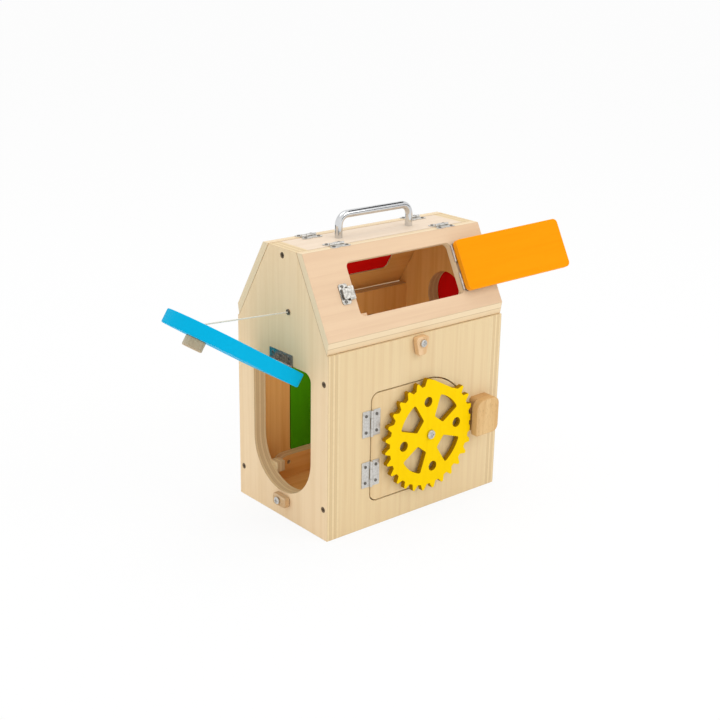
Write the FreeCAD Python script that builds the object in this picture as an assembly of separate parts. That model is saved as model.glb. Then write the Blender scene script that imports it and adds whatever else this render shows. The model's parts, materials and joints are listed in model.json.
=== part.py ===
import FreeCAD, Part
import math
import os

# Wooden lock box for small hands: a gabled plywood house with lids, doors, turn buttons and a gear.
# Lengths are millimetres. The drawing frame starts at the front left bottom corner of the box:
# X runs right along the front, Y runs back, Z runs up. Everything is moved on export so that the
# row frame starts at the middle of the box's underside.

V = FreeCAD.Vector

# Box
WIDTH = 240.0
DEPTH = 153.0
PLY = 15.0
THIN_PLY = 8.0
RIDGE_TOP = 293.0
RIDGE_FRONT = 42.6
RIDGE_BACK = DEPTH - 46.2
FRONT_EAVE = 212.7
BACK_EAVE = 217.7
FRONT_BAND_FOOT = 199.9
BACK_BAND_FOOT = 205.9
RIDGE_THICK = 15.0

# Clearances
SEAM = 0.4
FACE_GAP = 0.3
LID_GAP = 0.6
SWING_GAP = 1.4
RUN = 0.05
EASE = 1.2

# Screws through the side panels, and the heights they stand at
PANEL_HEAD_R = 3.2
PANEL_HEAD_T = 2.4
PANEL_SHANK_R = 1.6
PANEL_SCREW_LONG = 32.0
PANEL_SUNK = 0.3
SIDE_SCREW_IN = 6.8
SIDE_SCREW_HIGH = 168.7
SIDE_SCREW_LOW = 33.5

# Hinges: knuckle, pin and leaf, and the small screws that hold them
KNUCKLE_R = 1.5
HINGE_PIN_R = 0.8
LEAF_T = 0.8
PIN_HIGH = KNUCKLE_R + 0.1
KNUCKLE_GAP = 0.3
SMALL_HEAD_R = 1.7
SMALL_HEAD_T = 0.6
SMALL_SHANK_R = 0.9
SMALL_SHANK = 5.5
ARCH_HINGE_W = 39.0
ARCH_REACH = 12.0
ARCH_HOLE_X = 13.8
ARCH_HOLE_Y = 7.4
BUTT_HINGE_W = 28.4
BUTT_REACH = 11.8
BUTT_HOLE_X = 9.0
BUTT_HOLE_Y = 7.0
MINI_WAIST = 18.0
MINI_WIDE = 24.0
MINI_REACH = 9.2
MINI_HOLE_X = 8.2
MINI_HOLE_Y = 6.2

# Left arched opening and its door
ARCH_Y = DEPTH / 2
ARCH_W = 98.0
ARCH_BOTTOM = 29.0
ARCH_TOP = 173.2
ARCH_CORNER = 10.0
ARCH_OPEN_DEG = 123.0
KNOB_R = 10.5
KNOB_T = 11.0
KNOB_DROP = 108.0
KNOB_EASE = 1.6
STOP_DEEP = 10.0
STOP_WIDE = 12.0
STOP_TALL = 11.5
STOP_TURN_DEG = 46.4

# Front door with the gear
GD_Z0 = 29.0
GD_Z1 = 147.5
GD_END_R = (GD_Z1 - GD_Z0) / 2
GEAR_X = WIDTH - 108.0
GD_X0 = GEAR_X - 75.0
GD_X1 = GEAR_X + GD_END_R
GEAR_Z = (GD_Z0 + GD_Z1) / 2
GD_CORNER = 8.5
GATE_HINGE_LOW = 31.8
GATE_HINGE_HIGH = 30.7
GATE_STOP = 24.0
GEAR_T = 5.5
GEAR_STANDOFF = 3.2
GEAR_TIP_R = 63.4
GEAR_ROOT_R = 57.0
GEAR_TEETH = 28
GEAR_PHASE = 44.3
GEAR_TIP_DEG = 2.2
GEAR_GAP_DEG = 4.2
GEAR_AXLE_R = 2.5
GEAR_HEAD_R = 5.0
GEAR_HEAD_T = 2.2
GEAR_AXLE_BITE = 11.0
GEAR_WASHER_R = 7.0
GEAR_SPOKES = 4
GEAR_HOLE_R = 5.5
GEAR_HOLES_AT = 37.8
GEAR_HOLES_TURN = 7.0
GEAR_WINDOW_R0 = 20.0
GEAR_WINDOW_R1 = 44.0
GEAR_WINDOW_DEG = 41.0
GEAR_WINDOW_TURN = 52.0
KEEPER_X0 = WIDTH - 47.5
KEEPER_X1 = WIDTH - 14.0
GEAR_EDGE_X = KEEPER_X0 - 1.9
KEEPER_Z0 = 72.0
KEEPER_Z1 = 113.0
KEEPER_PLAY = 0.5
KEEPER_OUT = 17.0
KEEPER_SLOT = GEAR_STANDOFF + GEAR_T + KEEPER_PLAY

# Turn buttons, and the screws that they and the round cover turn on
PIVOT_R = 1.8
PIVOT_HEAD_R = 4.0
PIVOT_HEAD_T = 1.8
PIVOT_BITE = 11.0
BUTTON_T = 6.0
BUTTON_GAP = 0.5
BUTTON_LONG = 13.0
TOP_BUTTON_SHORT = 7.0
LOW_BUTTON_SHORT = 9.0
TOP_BUTTON_NARROW = 10.5
TOP_BUTTON_WIDE = 17.0
LOW_BUTTON_NARROW = 11.5
LOW_BUTTON_WIDE = 13.0
BUTTON_CORNER = 3.0
BUTTON_EASE = 0.8
TOP_BUTTON_X = WIDTH / 2 - 1.0
TOP_BUTTON_DROP = 8.0
LOW_BUTTON_Y = ARCH_Y - 1.0
LOW_BUTTON_Z = 20.6

# Roof openings, measured along the width and up the slope from the eave
RO_X0 = 48.5
RO_X1 = WIDTH - 48.8
RO_S0 = 18.5
RO_S1 = 75.0
RO_CORNER = 6.0
LID_OPEN_DEG = 173.0
LID_HINGE_IN = 13.0
RIDGE_HINGE_X = (50.5, WIDTH - 45.5)
LID_STOP_T = 6.0
BACK_KNOB_R = 9.0
BACK_KNOB_T = 10.0
BACK_KNOB_IN = 18.0

# Catch on the roof and latch on the front lid
CATCH_X = RO_X0 - 12.5
CATCH_S = 44.0
CATCH_W = 11.0
CATCH_L = 21.0
CATCH_T = 1.0
HOOK_HIGH = 3.6
HOOK_T = 1.0
HOOK_W = 5.0
HOOK_L = 14.0
LATCH_X = RO_X0 + 11.5
LOOP_REACH = 17.0
LOOP_BAR = 3.0
LOOP_PLAY = 0.5
LOOP_PIN_R = 1.0
LOOP_HIGH = 3.2
LOOP_HALF = HOOK_L / 2 + LOOP_PLAY + LOOP_BAR

# Back door and round window
BD_X0 = 58.0
BD_X1 = WIDTH - 60.0
BD_Z0 = 37.5
BD_Z1 = 176.0
BD_CORNER = 7.0
BD_HINGE_IN = 28.0
WIN_Y = DEPTH / 2 - 3.5
WIN_Z = 205.0
WIN_R = 28.0
COVER_R = 40.0
COVER_T = 8.0
COVER_EASE = 1.5
COVER_EDGE = 7.0
COVER_PIVOT_Z = WIN_Z + WIN_R + COVER_EDGE
COVER_Z = COVER_PIVOT_Z + COVER_EDGE - COVER_R

# Carry handle
HANDLE_CC = 96.0
HANDLE_D = 8.0
HANDLE_Y = (RIDGE_FRONT + RIDGE_BACK) / 2 + 0.3
HANDLE_RISE = 23.6
HANDLE_Z = RIDGE_TOP + HANDLE_RISE
HANDLE_BEND = 11.0
HANDLE_SCREW_R = 2.0
HANDLE_HEAD_R = 4.0
HANDLE_HEAD_T = 2.2
HANDLE_BITE = 10.0

# Stay cord, the hole it is knotted in and the eyelet it leaves the wall through
CORD_D = 1.6
CORD_Y = ARCH_Y - 12.2
CORD_Z = 229.4
CORD_HOLE_DEEP = 4.0
EYELET_R = 3.0
EYELET_RIM = 1.0
EYELET_SHANK_R = 2.0
EYELET_SHANK = 8.0

# Bolt on the back door
BOLT_Z = 106.0
BOLT_R = 2.5
BOLT_OUT = 5.0
BOLT_LONG = 52.0
BOLT_IN = 3.0
BOLT_GRIP_AT = 26.0
BOLT_GRIP_R = 1.8
BOLT_GRIP_OUT = 9.0
BOLT_BALL_R = 3.2
GUIDE_W = 8.0
GUIDE_HALF = 7.0
GUIDE_WALL = 2.0
GUIDE_EASE = 1.5
GUIDE_STEPS = (6.0, 34.0)
BOLT_KEEP_AT = 13.0

# Rail along the back of the floor
RAIL_X0 = 33.0
RAIL_X1 = WIDTH - 50.0
RAIL_T = 12.0
RAIL_TALL = 26.0
RAIL_END_R = 12.0
RAIL_HOLES_X = (RAIL_X0 + 13.0, (RAIL_X0 + RAIL_X1) / 2 + 6.5, RAIL_X1 - 10.0)
RAIL_HOLE_R = 2.2
RAIL_HOLE_UP = 18.0
RAIL_HOLE_DEEP = 8.0

X = V(1, 0, 0)
Y = V(0, 1, 0)
Z = V(0, 0, 1)
ORIGIN_SHIFT = V(-WIDTH / 2, -DEPTH / 2, 0)
parts = {}


def box(x0, x1, y0, y1, z0, z1):
    return Part.makeBox(x1 - x0, y1 - y0, z1 - z0, V(x0, y0, z0))


def rod(radius, start, end):
    return Part.makeCylinder(radius, (end - start).Length, start, end - start)


def rounded_wire(points, radii):
    # A closed outline in the XY plane with an arc of its own radius at each corner.
    count = len(points)
    ends = []
    edges = []
    for i in range(count):
        p = V(points[i][0], points[i][1], 0)
        a = V(points[i - 1][0], points[i - 1][1], 0) - p
        b = V(points[(i + 1) % count][0], points[(i + 1) % count][1], 0) - p
        r = radii[i]
        if r <= 0:
            ends.append((p, p))
            continue
        half = a.getAngle(b) / 2
        a.normalize()
        b.normalize()
        bisector = a + b
        bisector.normalize()
        reach = r / math.tan(half)
        middle = p + bisector * (r / math.sin(half) - r)
        ends.append((p + a * reach, p + b * reach))
        edges.append(Part.Arc(ends[-1][0], middle, ends[-1][1]).toShape())
    for i in range(count):
        p = ends[i][1]
        q = ends[(i + 1) % count][0]
        if (q - p).Length > 1e-4:
            edges.append(Part.makeLine(p, q))
    return Part.Wire(Part.__sortEdges__(edges))


def plate(points, radii, z0, z1):
    # A flat plate from a rounded outline, its faces at z0 and z1.
    face = Part.Face(rounded_wire(points, radii))
    face.translate(V(0, 0, z0))
    return face.extrude(V(0, 0, z1 - z0))


def rect(x0, x1, y0, y1):
    return [(x0, y0), (x1, y0), (x1, y1), (x0, y1)]


def eased(shape, z0, z1, radius):
    # Rounds a plate's edges that lie in its faces at z0 and z1.
    flat = [e for e in shape.Edges if e.BoundBox.ZLength < 1e-6 and
            (abs(e.BoundBox.ZMin - z0) < 1e-6 or abs(e.BoundBox.ZMin - z1) < 1e-6)]
    return shape.makeFillet(radius, flat)


def carry(shape, origin, u, v):
    # Moves a shape from its own frame to the drawing frame: x goes along u, y along v.
    w = u.cross(v)
    m = FreeCAD.Matrix(u.x, v.x, w.x, origin.x,
                       u.y, v.y, w.y, origin.y,
                       u.z, v.z, w.z, origin.z, 0, 0, 0, 1)
    s = shape.copy()
    s.transformShape(m)
    return s


def turned(shape, centre, axis, degrees):
    s = shape.copy()
    s.rotate(centre, axis, degrees)
    return s


def joined(first, *others):
    s = first
    for other in others:
        s = s.fuse(other)
    return s.removeSplitter()


def without(shape, tools):
    s = shape
    for tool in tools:
        s = s.cut(tool)
    return s


def screw(head_r, head_t, shank_r, length):
    # A round head on z = 0 with a cross recess, and a shank that runs down from it.
    head = Part.makeCylinder(head_r, head_t)
    edges = [e for e in head.Edges if abs(e.BoundBox.ZMin - head_t) < 1e-6 and e.BoundBox.ZLength < 1e-6]
    head = head.makeFillet(head_t * 0.45, edges)
    arm = head_r * 0.6
    slot = head_r * 0.14
    depth = head_t * 0.4
    head = head.cut(box(-arm, arm, -slot, slot, head_t - depth, head_t + 1))
    head = head.cut(box(-slot, slot, -arm, arm, head_t - depth, head_t + 1))
    return joined(head, Part.makeCylinder(shank_r, length, V(0, 0, -length)))


# Hinges. In a hinge's own frame the pin runs along x, the fixed leaf lies towards +y and the moving
# leaf towards -y, both flat on z = 0, and the pin stands just above that plane.
def leaf_outline(half_waist, half_wide, reach):
    # A butterfly leaf is narrow at its pin and spreads out; equal widths give a plain leaf.
    if half_waist == half_wide:
        return rect(-half_wide, half_wide, 0, reach), [0, 0, 0.8, 0.8]
    pts = [(-half_waist, 0), (half_waist, 0), (half_wide, reach * 0.55), (half_wide, reach),
           (half_waist * 0.45, reach), (0, reach * 0.86), (-half_waist * 0.45, reach),
           (-half_wide, reach), (-half_wide, reach * 0.55)]
    return pts, [0, 0, 1.5, 2.0, 1.0, 1.5, 1.0, 2.0, 1.5]


def hinge(half_waist, half_wide, reach, holes):
    # Returns fixed leaf, moving leaf, pin, screws of the fixed leaf, screws of the moving leaf.
    knuckle = 2 * half_waist * 0.3
    inner = half_waist - knuckle
    clear = KNUCKLE_R + 0.35
    pts, radii = leaf_outline(half_waist, half_wide, reach)
    base = plate(pts, radii, 0, LEAF_T)
    tall = KNUCKLE_R * 3
    fixed = base.cut(box(-inner - KNUCKLE_GAP, inner + KNUCKLE_GAP, -clear, clear, -1, tall))
    moving = base.cut(box(-half_wide - 1, -inner + KNUCKLE_GAP, -clear, clear, -1, tall))
    moving = moving.cut(box(inner - KNUCKLE_GAP, half_wide + 1, -clear, clear, -1, tall))
    fixed = joined(fixed,
                   Part.makeCylinder(KNUCKLE_R, knuckle, V(-half_waist, 0, PIN_HIGH), X),
                   Part.makeCylinder(KNUCKLE_R, knuckle, V(inner, 0, PIN_HIGH), X))
    moving = joined(moving, Part.makeCylinder(KNUCKLE_R, 2 * (inner - KNUCKLE_GAP),
                                              V(-inner + KNUCKLE_GAP, 0, PIN_HIGH), X))
    moving = moving.mirror(V(0, 0, 0), Y)
    bore = Part.makeCylinder(HINGE_PIN_R + RUN, 2 * half_wide, V(-half_wide, 0, PIN_HIGH), X)
    pin = Part.makeCylinder(HINGE_PIN_R, 2 * half_waist, V(-half_waist, 0, PIN_HIGH), X)
    fixed = fixed.cut(pin)
    moving = moving.cut(bore)
    small = screw(SMALL_HEAD_R, SMALL_HEAD_T, SMALL_SHANK_R, SMALL_SHANK)
    fixed_screws = []
    moving_screws = []
    for hx, hy in holes:
        s = small.copy()
        s.translate(V(hx, hy, LEAF_T))
        fixed_screws.append(s)
        s = small.copy()
        s.translate(V(hx, -hy, LEAF_T))
        moving_screws.append(s)
    fixed = without(fixed, fixed_screws)
    moving = without(moving, moving_screws)
    return [fixed], [moving], [pin], fixed_screws, moving_screws


def placed_hinge(kind, origin, u, v):
    return [[carry(s, origin, u, v) for s in group] for group in kind]


MINI_HINGE = hinge(MINI_WAIST / 2, MINI_WIDE / 2, MINI_REACH,
                   [(-MINI_HOLE_X, MINI_HOLE_Y), (MINI_HOLE_X, MINI_HOLE_Y)])
ARCH_HINGE = hinge(ARCH_HINGE_W / 2, ARCH_HINGE_W / 2, ARCH_REACH,
                   [(-ARCH_HOLE_X, ARCH_HOLE_Y), (0, ARCH_HOLE_Y), (ARCH_HOLE_X, ARCH_HOLE_Y)])
BUTT_HINGE = hinge(BUTT_HINGE_W / 2, BUTT_HINGE_W / 2, BUTT_REACH,
                   [(-BUTT_HOLE_X, BUTT_HOLE_Y), (BUTT_HOLE_X, BUTT_HOLE_Y)])


# Roof slopes
def slope(eave_y, eave_z, ridge_y):
    run = ridge_y - eave_y
    rise = RIDGE_TOP - eave_z
    length = math.hypot(run, rise)
    return run / length, rise / length, length


FC, FS, F_LEN = slope(0, FRONT_EAVE, RIDGE_FRONT)
BC, BS, B_LEN = slope(DEPTH, BACK_EAVE, RIDGE_BACK)
FRONT_U = X
FRONT_V = V(0, FC, FS)
FRONT_O = V(0, 0, FRONT_EAVE)
BACK_U = V(-1, 0, 0)
BACK_V = V(0, BC, BS)
BACK_O = V(WIDTH, DEPTH, BACK_EAVE)
# Where the roof panels' horizontal top cuts meet the ridge board
FRONT_SEAM_Y = RIDGE_FRONT + THIN_PLY / FS
BACK_SEAM_Y = RIDGE_BACK - THIN_PLY / BS


def roof_section(eave_y, eave_z, ridge_y, foot_z, c, s):
    # Panel cross-section in the YZ plane: outer face, top cut level with the ridge, undercut foot.
    inward = 1 if ridge_y > eave_y else -1
    seam = ridge_y + inward * THIN_PLY / s
    inner_at_eave = eave_z - THIN_PLY / abs(c)
    foot_y = eave_y + (foot_z - inner_at_eave) * c / s
    return [(eave_y, eave_z), (ridge_y, RIDGE_TOP), (seam - inward * SEAM, RIDGE_TOP), (foot_y, foot_z)]


def prism_x(points, x0, x1):
    pts = [V(x0, p[0], p[1]) for p in points]
    return Part.Face(Part.makePolygon(pts + [pts[0]])).extrude(V(x1 - x0, 0, 0))


def roof_opening(grow):
    outline = rect(RO_X0 - grow, RO_X1 + grow, RO_S0 - grow, RO_S1 + grow)
    return plate(outline, [RO_CORNER + grow] * 4, -2 * THIN_PLY, 2 * THIN_PLY)


def roof_lid():
    # In the slope's frame, closed, its outer face level with the panel's.
    outline = rect(RO_X0 + LID_GAP, RO_X1 - 2 * SEAM, RO_S0 + LID_GAP, RO_S1 - LID_GAP)
    lid = plate(outline, [RO_CORNER - LID_GAP] * 4, -(THIN_PLY - FACE_GAP), 0)
    return eased(lid, -(THIN_PLY - FACE_GAP), 0, EASE)


LID_AXIS_X = RO_X1 - SEAM
LID_HINGE_S = (RO_S0 + LID_HINGE_IN, RO_S1 - LID_HINGE_IN)


def side_profile():
    # The gable stands just inside the roof panels, and level with the ridge board at the top.
    f_in = V(0, FRONT_EAVE - (THIN_PLY + FACE_GAP) / FC)
    b_in = V(DEPTH, BACK_EAVE + (THIN_PLY + FACE_GAP) / BC)
    f_foot = FRONT_BAND_FOOT - SEAM
    b_foot = BACK_BAND_FOOT - SEAM
    f_y = (f_foot - f_in.y) * FC / FS
    b_y = DEPTH + (b_foot - b_in.y) * BC / BS
    f_top = (RIDGE_TOP - f_in.y) * FC / FS
    b_top = DEPTH + (RIDGE_TOP - b_in.y) * BC / BS
    return [(0, 0), (DEPTH, 0), (DEPTH, b_foot), (b_y, b_foot), (b_top, RIDGE_TOP),
            (f_top, RIDGE_TOP), (f_y, f_foot), (0, f_foot)]


def arch_outline(grow):
    half = ARCH_W / 2 + grow
    # y runs towards the front in this outline's own frame, so the arch keeps its symmetry
    pts = [(-half, ARCH_BOTTOM - grow), (half, ARCH_BOTTOM - grow),
           (half, ARCH_TOP + grow), (-half, ARCH_TOP + grow)]
    return pts, [half, half, ARCH_CORNER + grow, ARCH_CORNER + grow]


def arch_plate(grow, t0, t1, ease=0):
    pts, radii = arch_outline(grow)
    s = plate(pts, radii, t0, t1)
    if ease > 0:
        s = eased(s, t0, t1, ease)
    # own frame: x towards the front of the box, y up, z out of the left wall
    return carry(s, V(0, ARCH_Y, 0), V(0, -1, 0), Z)


def panel_screw(px, py, pz, out):
    # Countersunk screw through a side panel into the end grain of an inner board.
    head_r = PANEL_HEAD_R
    head_t = PANEL_HEAD_T
    shank_r = PANEL_SHANK_R
    length = PANEL_SCREW_LONG
    sunk = PANEL_SUNK
    head = Part.makeCone(shank_r, head_r, head_t, V(0, 0, -head_t - sunk))
    arm = head_r * 0.6
    slot = head_r * 0.15
    for b in (box(-arm, arm, -slot, slot, -sunk - 1.0, 1), box(-slot, slot, -arm, arm, -sunk - 1.0, 1)):
        head = head.cut(b)
    body = joined(head, Part.makeCylinder(shank_r, length, V(0, 0, -length)).cut(
        Part.makeCylinder(shank_r + 1, head_t, V(0, 0, -head_t - sunk + 0.6))).cut(
        Part.makeCylinder(shank_r + 1, 2 * sunk, V(0, 0, -sunk))))
    pocket = joined(Part.makeCylinder(head_r, sunk, V(0, 0, -sunk)),
                    Part.makeCone(shank_r, head_r, head_t, V(0, 0, -head_t - sunk)),
                    Part.makeCylinder(shank_r, length, V(0, 0, -length)))
    u = Y
    v = Z if out > 0 else V(0, 0, -1)
    at = V(px, py, pz)
    return carry(body, at, u, v), carry(pocket, at, u, v)


TOP_BUTTON_Z = FRONT_BAND_FOOT - SEAM - TOP_BUTTON_DROP


def turn_button(narrow, wide, short):
    # Own frame: screw at the origin, wide end towards +y, lying on z = 0.
    a = narrow / 2
    b = wide / 2
    shoulder = short / 4
    pts = [(-a, -BUTTON_LONG), (a, -BUTTON_LONG), (b, shoulder), (b, short),
           (-b, short), (-b, shoulder)]
    r = BUTTON_CORNER
    s = plate(pts, [r, r, 2 * r, r, r, 2 * r], 0, BUTTON_T)
    s = eased(s, 0, BUTTON_T, BUTTON_EASE)
    return s.cut(Part.makeCylinder(PIVOT_R + RUN, BUTTON_T + 2, V(0, 0, -1)))


def pivot_screw(grip):
    # A screw that a wooden piece turns on: the head stands clear of it by the running gap.
    s = screw(PIVOT_HEAD_R, PIVOT_HEAD_T, PIVOT_R, grip + PIVOT_BITE)
    s.translate(V(0, 0, grip + 2 * BUTTON_GAP))
    return s


# Walls
SIDE_SCREW_PLACES = [(SIDE_SCREW_IN, SIDE_SCREW_HIGH), (SIDE_SCREW_IN, SIDE_SCREW_LOW),
                     (DEPTH - SIDE_SCREW_IN, SIDE_SCREW_HIGH), (DEPTH - SIDE_SCREW_IN, SIDE_SCREW_LOW),
                     ((FRONT_SEAM_Y + BACK_SEAM_Y) / 2, RIDGE_TOP - RIDGE_THICK / 2)]


def build_walls():
    profile = side_profile()
    left = prism_x(profile, 0, PLY)
    right = prism_x(profile, WIDTH - PLY, WIDTH)
    left = left.cut(arch_plate(0, -2 * PLY, PLY))
    right = right.cut(rod(WIN_R, V(WIDTH - 2 * PLY, WIN_Y, WIN_Z), V(WIDTH + PLY, WIN_Y, WIN_Z)))
    front = box(PLY, WIDTH - PLY, 0, PLY, 0, FRONT_BAND_FOOT - SEAM)
    back = box(PLY, WIDTH - PLY, DEPTH - PLY, DEPTH, 0, BACK_BAND_FOOT - SEAM)
    # The walls' top inner corners are planed to run under the roof panels.
    front = front.common(prism_x(profile, 0, WIDTH))
    back = back.common(prism_x(profile, 0, WIDTH))
    # The floor is glued between the four walls.
    bottom = box(PLY, WIDTH - PLY, PLY, DEPTH - PLY, 0, PLY)
    ridge = prism_x([(FRONT_SEAM_Y + SEAM, RIDGE_TOP), (BACK_SEAM_Y - SEAM, RIDGE_TOP),
                     (BACK_SEAM_Y - SEAM, RIDGE_TOP - RIDGE_THICK),
                     (FRONT_SEAM_Y + SEAM, RIDGE_TOP - RIDGE_THICK)], PLY, WIDTH - PLY)
    front = front.cut(gear_door_plate(SWING_GAP, 2 * PLY))
    back = back.cut(back_door_plate(SWING_GAP, 2 * PLY))
    screws = []
    pockets = []
    for y, z in SIDE_SCREW_PLACES:
        for x, out in ((0, -1), (WIDTH, 1)):
            body, pocket = panel_screw(x, y, z, out)
            screws.append(body)
            pockets.append(pocket)
    parts["panel_screws"] = screws
    parts["left_side_panel"] = [without(left, pockets)]
    parts["right_side_panel"] = [without(right, pockets)]
    parts["front_panel"] = [without(front, pockets)]
    parts["back_panel"] = [without(back, pockets)]
    parts["bottom_panel"] = [bottom]
    parts["ridge_board"] = [without(ridge, pockets)]


def gear_door_plate(grow, deep):
    pts = rect(GD_X0 - grow, GD_X1 + grow, GD_Z0 - grow, GD_Z1 + grow)
    end = GD_END_R + grow
    s = plate(pts, [GD_CORNER + grow, end, end, GD_CORNER + grow], -deep, deep)
    return carry(s, V(0, 0, 0), X, Z)


def back_door_plate(grow, deep):
    pts = rect(BD_X0 - grow, BD_X1 + grow, BD_Z0 - grow, BD_Z1 + grow)
    s = plate(pts, [BD_CORNER + grow] * 4, -deep, deep)
    return carry(s, V(0, DEPTH, 0), X, Z)


def build_handle():
    x0 = WIDTH / 2 - HANDLE_CC / 2
    x1 = WIDTH / 2 + HANDLE_CC / 2
    k = HANDLE_BEND * (1 - math.sqrt(0.5))
    r = HANDLE_BEND
    pts = [V(x0, HANDLE_Y, RIDGE_TOP), V(x0, HANDLE_Y, HANDLE_Z - r), V(x0 + k, HANDLE_Y, HANDLE_Z - k),
           V(x0 + r, HANDLE_Y, HANDLE_Z), V(x1 - r, HANDLE_Y, HANDLE_Z), V(x1 - k, HANDLE_Y, HANDLE_Z - k),
           V(x1, HANDLE_Y, HANDLE_Z - r), V(x1, HANDLE_Y, RIDGE_TOP)]
    path = Part.Wire([Part.makeLine(pts[0], pts[1]), Part.Arc(pts[1], pts[2], pts[3]).toShape(),
                      Part.makeLine(pts[3], pts[4]), Part.Arc(pts[4], pts[5], pts[6]).toShape(),
                      Part.makeLine(pts[6], pts[7])])
    ring = Part.Wire(Part.makeCircle(HANDLE_D / 2, pts[0], Z))
    bow = path.makePipeShell([ring], True, False)
    fixings = []
    for x in (x0, x1):
        s = screw(HANDLE_HEAD_R, HANDLE_HEAD_T, HANDLE_SCREW_R, RIDGE_THICK + HANDLE_BITE)
        s = carry(s, V(x, HANDLE_Y, RIDGE_TOP - RIDGE_THICK), X, V(0, -1, 0))
        fixings.append(s)
    parts["carry_handle"] = [without(bow, fixings)]
    parts["handle_screws"] = fixings
    parts["ridge_board"] = [without(parts["ridge_board"][0], fixings)]


def build_arch_door():
    axis = V(-PIN_HIGH, ARCH_Y, ARCH_TOP)
    slab = arch_plate(-SWING_GAP, -(PLY - FACE_GAP), 0, EASE)
    knob_at = V(PLY - FACE_GAP, ARCH_Y, ARCH_TOP - KNOB_DROP)
    knob = rod(KNOB_R, knob_at, knob_at + X * KNOB_T)
    knob = knob.makeFillet(KNOB_EASE, [e for e in knob.Edges if e.BoundBox.XLength < 1e-6])
    # A cord hole runs through the door into the knob, which is the cord's stop.
    hole_end = V(-1, ARCH_Y, ARCH_TOP - KNOB_DROP)
    cord_hole = rod(CORD_D / 2 + FACE_GAP, hole_end, hole_end + X * (1 + CORD_HOLE_DEEP))
    fixed, moving, pin, fs, ms = placed_hinge(ARCH_HINGE, V(0, ARCH_Y, ARCH_TOP), V(0, -1, 0), Z)
    parts["arch_wall_leaf"] = fixed
    parts["arch_hinge_pin"] = pin
    parts["box_hinge_screws"] = list(fs)
    parts["left_side_panel"] = [without(parts["left_side_panel"][0], fs)]
    slab = without(slab, ms + [cord_hole])
    swing = lambda s: turned(s, axis, Y, ARCH_OPEN_DEG)
    parts["arch_door"] = [swing(slab)]
    parts["arch_door_leaf"] = [swing(s) for s in moving]
    parts["arch_door_screws"] = [swing(s) for s in ms]
    parts["arch_door_knob"] = [swing(knob)]
    # The cord is pulled tight from its eyelet in the wall to the floor of the hole in the open door.
    m = turned(Part.Vertex(V(0, ARCH_Y, ARCH_TOP - KNOB_DROP)), axis, Y, ARCH_OPEN_DEG)
    door_point = V(m.Point.x, m.Point.y, m.Point.z)
    wall_point = V(-EYELET_RIM, CORD_Y, CORD_Z)
    cord = rod(CORD_D / 2, wall_point, door_point)
    print("stay cord from", wall_point, "to", door_point, "length", (door_point - wall_point).Length)
    eyelet = rod(EYELET_R, wall_point, V(0, CORD_Y, CORD_Z))
    eyelet = joined(eyelet, rod(EYELET_SHANK_R, V(0, CORD_Y, CORD_Z), V(EYELET_SHANK, CORD_Y, CORD_Z)))
    parts["cord_eyelet"] = [eyelet]
    parts["stay_cord"] = [without(cord, [swing(slab), eyelet])]
    parts["left_side_panel"] = [without(parts["left_side_panel"][0], [eyelet])]


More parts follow.
